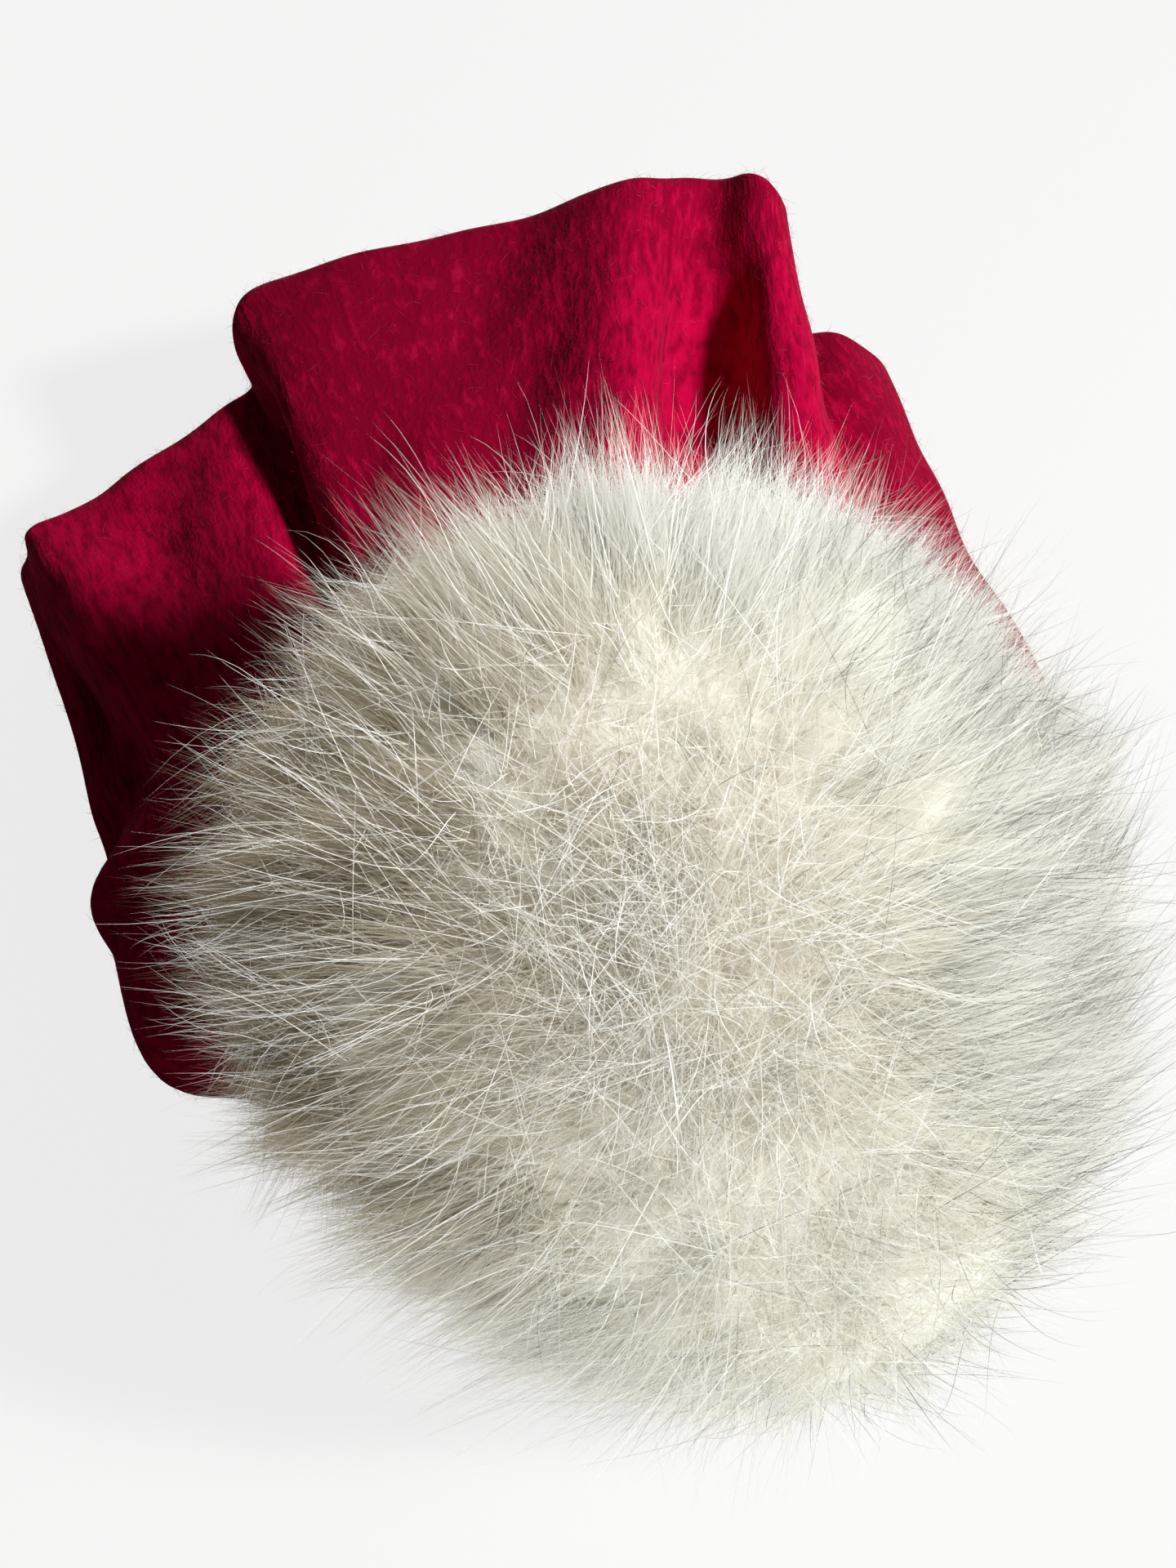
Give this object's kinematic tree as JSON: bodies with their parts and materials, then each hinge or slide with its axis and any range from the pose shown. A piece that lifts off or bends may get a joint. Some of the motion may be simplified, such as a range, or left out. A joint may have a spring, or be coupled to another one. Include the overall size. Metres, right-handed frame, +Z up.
{
  "type": "bobble hat",
  "caption": "Soft knitted hat lying on its side with its opening to the back, its crown gathered to a hidden tie that holds a large round fur pompom.",
  "frame": {"origin": "middle of the whole outline seen from above, at floor level", "axes": "+Y runs from the pompom towards the hat's opening, +X to the right seen from the pompom's side, +Z up from the floor"},
  "size_m": [0.2112, 0.2772, 0.159],
  "materials": {
    "knit": "matte brushed crimson knit",
    "fur": "long soft cream fur",
    "tie": "plain pale cord"
  },
  "bodies": {
    "root": {"hat_body": "knit", "pompom": "fur", "pompom_tie": "tie"}
  },
  "joints": []
}
